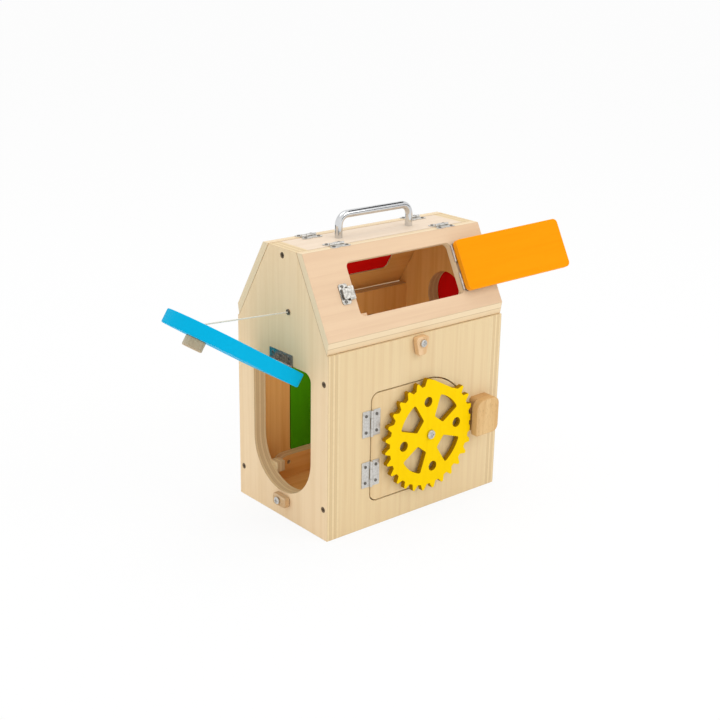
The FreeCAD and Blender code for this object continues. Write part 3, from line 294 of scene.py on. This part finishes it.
def painted_wood(name, grain, out, face, streak, side_tone_and_painted_light):
    finish, tree = new_finish(name)
    distances = board_numbers(tree, grain, out)
    fine = streaks(tree, distances, (125, 5.26, 5.26), 4.0, 0.3)
    broad = streaks(tree, distances, (167, 45.5, 45.5), 2.0, 0.8)
    narrow = add(tree, "ShaderNodeMapRange", {0: fine, 1: 0.45, 2: 0.8, 4: 0.6})
    tone = add(tree, "ShaderNodeMix", {0: narrow.outputs[0], 6: colour(face), 7: colour(streak)},
               data_type="RGBA")
    bands = add(tree, "ShaderNodeMapRange", {0: broad, 1: 0.45, 2: 0.8, 4: 0.35})
    tone = add(tree, "ShaderNodeMix", {0: bands.outputs[0], 6: tone.outputs[2], 7: colour(streak)},
               data_type="RGBA")
    # Sawn sides get their own tone: on the gear partly painted shade, on the orange lid a painted
    # highlight.
    tone = add(tree, "ShaderNodeMix",
               {0: sawn_edge(tree, out), 6: tone.outputs[2], 7: colour(side_tone_and_painted_light)}, data_type="RGBA")
    rays = add(tree, "ShaderNodeLightPath")
    cast = add(tree, "ShaderNodeMath", {0: rays.outputs["Is Diffuse Ray"], 1: BOUNCE_SHARE},
               operation="MULTIPLY")
    tone = add(tree, "ShaderNodeMix",
               {0: cast.outputs[0], 6: tone.outputs[2], 7: colour(PLAIN_BOUNCE)}, data_type="RGBA")
    gloss = add(tree, "ShaderNodeMapRange", {0: fine, 1: 0.3, 2: 0.7, 3: 0.44, 4: 0.53})
    wood_skin(tree, tone.outputs[2], gloss.outputs[0], fine,
              arris=0.7, relief=0.1, ior=1.12, level=0.4)
    return finish


# %% [markdown]
# The knobs, the turn buttons and the keeper are solid beech, sanded but hardly lacquered. Beech has
# short dark flecks about a millimetre wide, which few other pale woods have.


# %% Beech
def beech(name, grain, out, face, dark, fleck):
    finish, tree = new_finish(name)
    distances = board_numbers(tree, grain, out)
    rings = streaks(tree, distances, (100, 7.69, 11.1), 4.0, 0.8)
    flecks = streaks(tree, distances, (3.85, 0.769, 0.769), 1.0)
    ringed = add(tree, "ShaderNodeMapRange", {0: rings, 1: 0.4, 2: 0.75})
    tone = add(tree, "ShaderNodeMix", {0: ringed.outputs[0], 6: colour(face), 7: colour(dark)},
               data_type="RGBA")
    flecked = add(tree, "ShaderNodeMapRange", {0: flecks, 1: 0.6, 2: 0.72, 4: 0.5})
    tone = add(tree, "ShaderNodeMix", {0: flecked.outputs[0], 6: tone.outputs[2], 7: colour(fleck)},
               data_type="RGBA")
    # Sawn sides are mixed towards the dark tone: partly beech's darker end grain, partly painted
    # shade on sides turned from the key lamp.
    darker = add(tree, "ShaderNodeMath", {0: sawn_edge(tree, out), 1: 0.55}, operation="MULTIPLY")
    tone = add(tree, "ShaderNodeMix", {0: darker.outputs[0], 6: tone.outputs[2], 7: colour(dark)},
               data_type="RGBA")
    gloss = add(tree, "ShaderNodeMapRange", {0: flecks, 1: 0.4, 2: 0.7, 3: 0.5, 4: 0.62})
    wood_skin(tree, tone.outputs[2], gloss.outputs[0], rings,
              arris=0.8, relief=0.15, ior=1.5, level=0.3)
    return finish


# %% [markdown]
# Hinges and screws are stamped steel with bright zinc plating. Zinc grows in small grey crystals,
# so its brightness changes in patches of 2 to 3 mm, and the stamping leaves a slight waviness.


# %% Zinc-plated steel
def zinc(name, base, patch, rough):
    finish, tree = new_finish(name)
    place = add(tree, "ShaderNodeTexCoord")
    crystals = add(tree, "ShaderNodeTexVoronoi",
                   {"Vector": place.outputs["Object"], "Scale": repeats(2.38)})
    waves = add(tree, "ShaderNodeTexNoise",
                {"Vector": place.outputs["Object"], "Scale": repeats(3.85), "Detail": 3.0})
    patches = add(tree, "ShaderNodeMapRange", {0: crystals.outputs["Distance"], 1: 0.2, 2: 0.9})
    tone = add(tree, "ShaderNodeMix", {0: patches.outputs[0], 6: colour(base), 7: colour(patch)},
               data_type="RGBA")
    rounded = add(tree, "ShaderNodeBevel", {"Radius": 0.2 * MM}, samples=4)
    bump = add(tree, "ShaderNodeBump",
               {"Strength": 0.06, "Distance": 0.3 * MM, "Height": waves.outputs["Fac"],
                "Normal": rounded.outputs[0]})
    gloss = add(tree, "ShaderNodeMapRange",
                {0: waves.outputs["Fac"], 1: 0.3, 2: 0.7, 3: rough, 4: rough + 0.12})
    skin = add(tree, "ShaderNodeBsdfPrincipled",
               {"Base Color": tone.outputs[2], "Roughness": gloss.outputs[0], "Metallic": 1.0,
                "Normal": bump.outputs[0]})
    add(tree, "ShaderNodeOutputMaterial", {"Surface": skin.outputs[0]})
    return finish


# %% [markdown]
# The carry handle is bent steel rod under polished chrome. Chrome is nearly a mirror with a cool
# tone, so it mostly shows the room, with a faint haze in patches about a centimetre wide.


# %% Chrome
def chrome(name):
    finish, tree = new_finish(name)
    place = add(tree, "ShaderNodeTexCoord")
    haze = add(tree, "ShaderNodeTexNoise",
               {"Vector": place.outputs["Object"], "Scale": repeats(11.1), "Detail": 4.0})
    patches = add(tree, "ShaderNodeMapRange", {0: haze.outputs["Fac"], 1: 0.35, 2: 0.7})
    tone = add(tree, "ShaderNodeMix",
               {0: patches.outputs[0], 6: colour("#d9dadb"), 7: colour("#c6c7c9")},
               data_type="RGBA")
    gloss = add(tree, "ShaderNodeMapRange",
                {0: haze.outputs["Fac"], 1: 0.3, 2: 0.7, 3: 0.06, 4: 0.13})
    skin = add(tree, "ShaderNodeBsdfPrincipled",
               {"Base Color": tone.outputs[2], "Roughness": gloss.outputs[0], "Metallic": 1.0})
    add(tree, "ShaderNodeOutputMaterial", {"Surface": skin.outputs[0]})
    return finish


# %% [markdown]
# Each board gets its finish in its own directions. Side boards are cut with the grain upright, and
# so are the front and back. The roof slopes are thinner, with the grain along the ridge and a
# pinker tone. Slope directions come from the eaves and the ridge. A board's row gives its grain,
# its outward direction, how far out its outer face lies, the thickness of one sheet, and its tones.

# %% Board finishes
FRONT_EAVE = Vector((0, -76.5, 212.7)) * MM
FRONT_RIDGE = Vector((0, -33.9, 293.0)) * MM
BACK_EAVE = Vector((0, 76.5, 217.7)) * MM
BACK_RIDGE = Vector((0, 30.3, 293.0)) * MM
front_slope = (FRONT_RIDGE - FRONT_EAVE).normalized()
front_out = Vector((0, -front_slope.z, front_slope.y))
back_slope = (BACK_RIDGE - BACK_EAVE).normalized()
back_out = Vector((0, back_slope.z, -back_slope.y))
front_face = front_out.dot(FRONT_EAVE)
back_face = back_out.dot(BACK_EAVE)
HALF_WIDTH, HALF_DEPTH, RIDGE_HEIGHT, RAIL_FACE = 120 * MM, 76.5 * MM, 293 * MM, 61.5 * MM
BOARD_PLY, ROOF_PLY = 3.0 * MM, 4.0 * MM
UP, BACK, RIGHT = (0, 0, 1), (0, 1, 0), (1, 0, 0)
DOWN, FRONT, LEFT = (0, 0, -1), (0, -1, 0), (-1, 0, 0)

PLAIN_EDGE = ("#ead2a6", "#ddc296", "#b2946a")
ROOF_EDGE = ("#f0dab6", "#ecd3ac", "#b89c74")
ROOF_PLAIN_ENDS = 0.85
SIDE = ("#f8dcb4", "#eecfa2", "#f1d3a9")
PALE = ("#e8d0a4", "#dfc296", "#e4c99c")
DOOR = ("#e8cda0", "#ddbd8c", "#e2c494")
ROOF = ("#e8c9a6", "#dfbd9a", "#e2c19f")
RIDGE = ("#edd9c2", "#e3ccb2", "#e7d2ba")
boards = {
    "left_side_panel": ("poplar_ply_left", UP, LEFT, HALF_WIDTH, BOARD_PLY, SIDE, PLAIN_EDGE),
    "right_side_panel": ("poplar_ply_right", UP, RIGHT, HALF_WIDTH, BOARD_PLY, SIDE, PLAIN_EDGE),
    "front_panel": ("birch_ply_front", UP, FRONT, HALF_DEPTH, BOARD_PLY, PALE, PLAIN_EDGE),
    "gear_door": ("birch_ply_gear_door", UP, FRONT, HALF_DEPTH, BOARD_PLY, DOOR, PLAIN_EDGE),
    "back_panel": ("birch_ply_back", UP, BACK, HALF_DEPTH, BOARD_PLY, PALE, PLAIN_EDGE),
    "bottom_panel": ("birch_ply_floor", RIGHT, DOWN, 0.0, BOARD_PLY, PALE, PLAIN_EDGE),
    "ridge_board": ("birch_ply_ridge", RIGHT, UP, RIDGE_HEIGHT, BOARD_PLY, RIDGE, ROOF_EDGE),
    "door_stop_blocks": ("birch_ply_stops", UP, LEFT, 0.0, BOARD_PLY, PALE, PLAIN_EDGE),
    "floor_rail": ("birch_ply_rail", RIGHT, BACK, RAIL_FACE, BOARD_PLY, PALE, PLAIN_EDGE),
    "front_roof_panel": ("thin_ply_front_roof", RIGHT, front_out, front_face, ROOF_PLY, ROOF,
                         ROOF_EDGE, ROOF_PLAIN_ENDS),
    "front_lid_stop": ("thin_ply_stop", RIGHT, front_out, front_face, ROOF_PLY, ROOF, ROOF_EDGE),
    "back_roof_panel": ("thin_ply_back_roof", RIGHT, back_out, back_face, ROOF_PLY, ROOF,
                        ROOF_EDGE, ROOF_PLAIN_ENDS),
}
finishes = {node_name: plywood(*row) for node_name, row in boards.items()}
print("board finishes:", len(finishes))

# %% [markdown]
# The doors and the lid that stand open were turned after they were cut, so their grain turns with
# them. The arched door stands open by 123 degrees about the left wall's level hinge, and the
# orange lid by 173 degrees about its own, which lies in the roof slope.

# %% Painted finishes
door_swing = Matrix.Rotation(math.radians(123), 3, "Y")
lid_swing = Matrix.Rotation(math.radians(173), 3, front_slope)
door_grain, door_out = door_swing @ Vector(UP), door_swing @ Vector(RIGHT)
lid_grain, lid_out = lid_swing @ Vector(RIGHT), lid_swing @ front_out
BLUE = ("#10bdee", "#08ade2", "#04b2e0")
# The orange lid's side tone is lighter than its face: a painted highlight on its lit edge.
ORANGE = ("#ff9b02", "#fb9000", "#ffa31c")
RED = ("#ee1214", "#dc0c10", "#c80c10")
GREEN = ("#4fae10", "#439c0c", "#388a0a")
# The gear's dark brown side tone is partly a darker sawn edge and partly painted shade on its side
# walls.
YELLOW = ("#fbd200", "#f4c800", "#a87a0c")
finishes.update({
    "arch_door": painted_wood("blue_stain", door_grain, door_out, *BLUE),
    "front_lid": painted_wood("orange_stain", lid_grain, lid_out, *ORANGE),
    "back_lid": painted_wood("red_stain_lid", RIGHT, back_out, *RED),
    "green_door": painted_wood("green_stain", UP, BACK, *GREEN),
    "round_cover": painted_wood("red_stain_cover", UP, RIGHT, *RED),
    "gear_wheel": painted_wood("yellow_stain", UP, BACK, *YELLOW),
})
print("the open door's grain points along", [round(part, 2) for part in door_grain])

# %% [markdown]
# Small turned and sawn pieces are beech; the knob hangs in the door's shade, and its greyer tones are
# painted shade.

# %% Beech finishes
finishes.update({
    "arch_door_knob": beech("beech_knob", door_out, door_grain, "#d6c2a6", "#c2aa8a", "#a98a62"),
    "keeper_cap": beech("beech_cap", UP, BACK, "#e2bd85", "#cf9f62", "#a87843"),
    "keeper_base": beech("beech_base", UP, BACK, "#dcb57c", "#c5935a", "#a37242"),
    "top_turn_button": beech("beech_top_button", UP, BACK, "#ecc79b", "#d9ad78", "#b58754"),
    "lower_turn_button": beech("beech_low_button", BACK, RIGHT, "#e4c49b", "#cfa878", "#b08454"),
    "back_lid_knob": beech("beech_lid_knob", back_out, back_slope, "#e4c49b", "#cfa878", "#b08454"),
})
print("wooden finishes:", len(finishes))

# %% [markdown]
# Metal parts follow the imported record: its slots say which nodes are hinges, screws or the handle.
# Most screw heads get a rougher, darker zinc than the plates they hold; the darker tone is painted
# shade. The long panel screws and the eyelet get a brown, dark steel, which is painted shade too,
# and the hinge leaves and the catch plate a darker, smoother zinc; on the arch hinge its darker tone
# is a painted reflection of the shaded door above it.

# %% Metal finishes
hinge_zinc = zinc("zinc_plate", "#dcdad6", "#c6c3bd", 0.32)
screw_zinc = zinc("zinc_screws", "#d8d6d2", "#bdbbb6", 0.26)
# Painted shade: a darker, rougher zinc for most screw heads.
dull_painted_shade_zinc = zinc("dull_painted_shade_screws", "#8d8983", "#6d6963", 0.4)
# Painted shade: brown, dark steel for the panel screws and for the eyelet, where it stands in for the
# shadowed hole.
brown_painted_shade_steel = zinc("brown_painted_shade_screws", "#94806a", "#746452", 0.5)
# A darker, smoother zinc; on the arch hinge leaves the darker tone is a painted reflection of the
# shaded door.
darker_smooth_zinc = zinc("darker_smooth_zinc", "#b4b1ab", "#85827c", 0.24)
metals = {"hinge_steel": hinge_zinc, "screw_steel": screw_zinc,
          "handle_chrome": chrome("polished_chrome")}
for entry in frame["record"]["subparts"]:
    if entry["material_slot"] in metals:
        finishes[entry["node"]] = metals[entry["material_slot"]]
for node_name in finishes:
    if node_name.endswith("_screws") and node_name not in ("pivot_screws", "arch_door_screws"):
        finishes[node_name] = dull_painted_shade_zinc
for node_name in ("panel_screws", "cord_eyelet"):
    finishes[node_name] = brown_painted_shade_steel
for node_name in ("lid_catch_plate", "arch_wall_leaf", "arch_door_leaf"):
    finishes[node_name] = darker_smooth_zinc
print("finishes with metal:", len(finishes))

# %% [markdown]
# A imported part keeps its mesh, so a finish is simply put in place of the plain colour it came with.

# %% Putting the finishes on
for node_name, finish in finishes.items():
    part = frame["nodes"][node_name]
    part.data.materials.clear()
    part.data.materials.append(finish)
print("finished:", len(finishes), "left plain:", sorted(set(frame["nodes"]) - set(finishes)))

# %% [markdown]
# The stay cord is thin twisted cotton, pulled tight from its eyelet to the raised door. Three
# strands wind round each other; at this size a helix of three round threads is both the simplest
# and the truest model. Its line is a smooth spline, and the strands follow points read from it.

# %% The cord's line
CORD_WALL = (-0.1210, -0.0122, 0.22940)
CORD_DOOR = (-0.21305, 0.0, 0.23068)
CORD_WIDE = 0.0016
run = Vector(CORD_DOOR) - Vector(CORD_WALL)
CORD_LONG = run.length
near_eye = Vector(CORD_WALL).lerp(Vector(CORD_DOOR), 6 * CORD_WIDE / CORD_LONG)
line_data = bpy.data.curves.new("cord_line", "CURVE")
line_data.dimensions = "3D"
line_data.resolution_u = 24
route = line_data.splines.new("NURBS")
route.points.add(2)
for point, place in zip(route.points, (CORD_WALL, near_eye, CORD_DOOR)):
    point.co = (*place, 1.0)
route.order_u = 3
route.use_endpoint_u = True
line = bpy.data.objects.new("cord_line", line_data)
scene.collection.objects.link(line)
read = bpy.data.meshes.new_from_object(line)
line_points = [vertex.co.copy() for vertex in read.vertices]
print("cord:", round(CORD_LONG / MM, 1), "mm long,", len(line_points), "points read")

# %% [markdown]
# Each strand is a small round thread whose middle circles the line once every 5 mm. To place it,
# the read points are measured along the line, so that any share of its length gives a point.

# %% Places along the cord
reached = [0.0]
for before, after in zip(line_points, line_points[1:]):
    reached.append(reached[-1] + (after - before).length)


def on_line(share):
    far = share * reached[-1]
    last = next((i for i, so_far in enumerate(reached) if so_far > far), len(reached) - 1)
    step = (far - reached[last - 1]) / (reached[last] - reached[last - 1])
    return line_points[last - 1].lerp(line_points[last], step)


print("measured along the points:", round(reached[-1] / MM, 1), "mm")

# %% [markdown]
# Three equal round threads that touch fill a circle 2.155 times as wide as one of them, which gives
# each strand's thickness from the cord's.

# %% Twisted strands
STRANDS, LAY_LENGTH, STEPS, PACKING = 3, 0.005, 220, 2.155
strand_r = CORD_WIDE / 2 / PACKING
swing_r = CORD_WIDE / 2 - strand_r
side_a = run.normalized().orthogonal().normalized()
side_b = run.normalized().cross(side_a)
thread = bpy.data.curves.new("cord_threads", "CURVE")
thread.dimensions = "3D"
thread.bevel_depth = strand_r
thread.bevel_resolution = 2
thread.use_fill_caps = True
for strand in range(STRANDS):
    spline = thread.splines.new("POLY")
    spline.points.add(STEPS)
    for step in range(STEPS + 1):
        share = step / STEPS
        angle = 2 * math.pi * (share * CORD_LONG / LAY_LENGTH + strand / STRANDS)
        place = on_line(share)
        place += side_a * math.cos(angle) * swing_r + side_b * math.sin(angle) * swing_r
        spline.points[step].co = (*place, 1.0)
threads = bpy.data.objects.new("threads", thread)
scene.collection.objects.link(threads)
cord_mesh = bpy.data.meshes.new_from_object(threads)
bpy.data.objects.remove(threads)
bpy.data.objects.remove(line)
cord = bpy.data.objects.new("cotton_cord", cord_mesh)
scene.collection.objects.link(cord)
print("cord faces:", len(cord_mesh.polygons))

# %% [markdown]
# Raw cotton is off-white and quite matt, with darker dust where the fibres lie deep.

# %% Cotton
cotton, tree = new_finish("raw_cotton")
place = add(tree, "ShaderNodeTexCoord")
fibres = add(tree, "ShaderNodeTexNoise",
             {"Vector": place.outputs["Object"], "Scale": repeats(0.667), "Detail": 3.0})
dusty = add(tree, "ShaderNodeMapRange", {0: fibres.outputs["Fac"], 1: 0.35, 2: 0.7})
tone = add(tree, "ShaderNodeMix",
           {0: dusty.outputs[0], 6: colour("#efebe0"), 7: colour("#d3ccba")}, data_type="RGBA")
bump = add(tree, "ShaderNodeBump",
           {"Strength": 0.4, "Distance": 0.2 * MM, "Height": fibres.outputs["Fac"]})
skin = add(tree, "ShaderNodeBsdfPrincipled",
           {"Base Color": tone.outputs[2], "Roughness": 0.85, "Normal": bump.outputs[0],
            "Sheen Weight": 0.3})
add(tree, "ShaderNodeOutputMaterial", {"Surface": skin.outputs[0]})
cord_mesh.materials.append(cotton)
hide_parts("stay_cord")
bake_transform(cord)
print("cotton repeats", round(repeats(0.667)), "times a metre")

# %% [markdown]
# The photograph's camera stands a good metre away, to the left and a little above the roof. Its
# place was worked out from the corners of the box. A focal length of 1257 picture points on a
# picture 720 wide is a 63 mm lens on a 36 mm sensor, which gives the same narrow perspective.

# %% Camera
CAMERA_PLACE = (-0.83966, -0.97578, 0.59504)
FOCAL_POINTS, PICTURE_POINTS, SENSOR_WIDTH = 1256.99, 720, 36.0
turn, drop, roll = math.radians(40.194), math.radians(19.071), math.radians(-0.974)
ahead = Vector((math.sin(turn) * math.cos(drop), math.cos(turn) * math.cos(drop), -math.sin(drop)))
level = Vector((math.cos(turn), -math.sin(turn), 0))
down = ahead.cross(level)
right = level * math.cos(roll) + down * math.sin(roll)
down = down * math.cos(roll) - level * math.sin(roll)
lens = bpy.data.cameras.new("camera")
lens.sensor_width = SENSOR_WIDTH
lens.lens = FOCAL_POINTS / PICTURE_POINTS * SENSOR_WIDTH
camera = bpy.data.objects.new("camera", lens)
camera.matrix_world = Matrix.Translation(CAMERA_PLACE) @ Matrix((
    (right.x, -down.x, -ahead.x), (right.y, -down.y, -ahead.y),
    (right.z, -down.z, -ahead.z))).to_4x4()
scene.collection.objects.link(camera)
scene.camera = camera
print("lens:", round(lens.lens, 1), "mm")

# %% [markdown]
# The background is white for the eye and a plain pale thing for the light. Light Path tells the
# two apart: rays from the camera, and those that metal or glass send on, should see the white.


# %% What the eye sees
def eye_rays(tree):
    rays = add(tree, "ShaderNodeLightPath")
    seen = add(tree, "ShaderNodeMath",
               {0: rays.outputs["Is Camera Ray"], 1: rays.outputs["Is Glossy Ray"]},
               operation="MAXIMUM")
    seen = add(tree, "ShaderNodeMath",
               {0: seen.outputs[0], 1: rays.outputs["Is Transmission Ray"]}, operation="MAXIMUM")
    return seen.outputs[0]


# %% [markdown]
# The toy stands on seamless white paper. The paper's own colour is pale, and a share of plain
# white is added for the eye, so that only a faint shadow is left round the foot of the box. The
# sheet lies a fifth of a millimetre low, so that it doesn't flicker against the floor board.

# %% Floor
WHITE_SHARE = 0.86
sheet = bmesh.new()
bmesh.ops.create_grid(sheet, x_segments=2, y_segments=2, size=30.0)
floor_mesh = bpy.data.meshes.new("floor")
sheet.to_mesh(floor_mesh)
sheet.free()
floor = bpy.data.objects.new("floor", floor_mesh)
floor.location.z = -0.2 * MM
scene.collection.objects.link(floor)
paper, tree = new_finish("seamless_paper")
place = add(tree, "ShaderNodeTexCoord")
tooth = add(tree, "ShaderNodeTexNoise", {"Vector": place.outputs["Object"], "Scale": repeats(1.11)})
tone = add(tree, "ShaderNodeMix",
           {0: tooth.outputs["Fac"], 6: colour("#fbfbfb"), 7: colour("#f7f7f7")},
           data_type="RGBA")
matt = add(tree, "ShaderNodeBsdfDiffuse", {"Color": tone.outputs[2]})
glow = add(tree, "ShaderNodeEmission", {"Color": colour("#ffffff"), "Strength": 1.0})
share = add(tree, "ShaderNodeMath", {0: eye_rays(tree), 1: WHITE_SHARE}, operation="MULTIPLY")
blend = add(tree, "ShaderNodeMixShader",
            {0: share.outputs[0], 1: matt.outputs[0], 2: glow.outputs[0]})
add(tree, "ShaderNodeOutputMaterial", {"Surface": blend.outputs[0]})
floor_mesh.materials.append(paper)
print("paper tooth:", round(repeats(1.11)), "times a metre")

# %% [markdown]
# A studio for small toys is a white tent with one large lamp. The tent is the world, white to the
# eye and a little dimmer as a light.

# %% The white tent
TENT_LIGHT = 0.88
world = bpy.data.worlds.new("white_tent")
scene.world = world
world.use_nodes = True
tree = world.node_tree
tree.nodes.clear()
soft = add(tree, "ShaderNodeBackground", {"Color": colour("#ffffff"), "Strength": TENT_LIGHT})
white = add(tree, "ShaderNodeBackground", {"Color": colour("#ffffff"), "Strength": 1.0})
blend = add(tree, "ShaderNodeMixShader",
            {0: eye_rays(tree), 1: soft.outputs[0], 2: white.outputs[0]})
add(tree, "ShaderNodeOutputWorld", {"Surface": blend.outputs[0]})
print("tent light:", TENT_LIGHT)

# %% [markdown]
# The key lamp stands at the front right, so that left faces fall into a light shade, and a weaker
# one hangs overhead.


# %% Lamps
def soft_lamp(name, place, aim, size, watts):
    data = bpy.data.lights.new(name, "AREA")
    data.size = size
    data.energy = watts
    lamp = bpy.data.objects.new(name, data)
    lamp.location = place
    lamp.rotation_euler = (Vector(aim) - Vector(place)).to_track_quat("-Z", "Y").to_euler()
    scene.collection.objects.link(lamp)


soft_lamp("key", (0.9, -1.7, 1.5), (0, 0, 0.12), 1.1, 9)
soft_lamp("top", (-0.3, 0.2, 2.0), (0, 0, 0.1), 1.4, 6.3)
glow_inside = bpy.data.lights.new("inside", "POINT")
glow_inside.energy = 0.04
glow_inside.color = (1.0, 0.86, 0.62)
glow_inside.shadow_soft_size = 0.04
inside_lamp = bpy.data.objects.new("inside", glow_inside)
inside_lamp.location = (-0.03, 0.0, 0.16)
inside_lamp.visible_camera = inside_lamp.visible_glossy = False
scene.collection.objects.link(inside_lamp)
print("lamps:", len(bpy.data.lights))

# %% [markdown]
# Chrome that sees only white looks like plastic. Three dark cards stand outside the picture where
# the handle mirrors them as long streaks. They are seen by reflections alone and shade nothing.

# %% Dark cards
card_skin, tree = new_finish("dark_card")
place = add(tree, "ShaderNodeTexCoord")
nap = add(tree, "ShaderNodeTexNoise", {"Vector": place.outputs["Object"], "Scale": repeats(25)})
tone = add(tree, "ShaderNodeMix",
           {0: nap.outputs["Fac"], 6: colour("#2c2c2d"), 7: colour("#38383a")}, data_type="RGBA")
felt = add(tree, "ShaderNodeBsdfDiffuse", {"Color": tone.outputs[2]})
add(tree, "ShaderNodeOutputMaterial", {"Surface": felt.outputs[0]})
HANDLE_MIDDLE = Vector((0, 0, 0.3))
cards = {"low_card": ((1.5, -1.9, 0.6), (3.0, 0.45)), "high_card": ((1.5, -0.5, 2.2), (3.0, 0.4)),
         "side_card": ((-0.5, 0.55, 0.12), (0.5, 0.2))}
for card_name, (card_place, card_size) in cards.items():
    sheet = bmesh.new()
    bmesh.ops.create_grid(sheet, x_segments=1, y_segments=1, size=0.5)
    card_mesh = bpy.data.meshes.new(card_name)
    sheet.to_mesh(card_mesh)
    sheet.free()
    card_mesh.materials.append(card_skin)
    card = bpy.data.objects.new(card_name, card_mesh)
    card.location = card_place
    card.scale = (*card_size, 1.0)
    towards = HANDLE_MIDDLE - Vector(card_place)
    card.rotation_euler = towards.to_track_quat("Z", "Y").to_euler()
    card.visible_camera = card.visible_diffuse = False
    card.visible_shadow = card.visible_transmission = False
    scene.collection.objects.link(card)
print("cards:", sorted(cards))
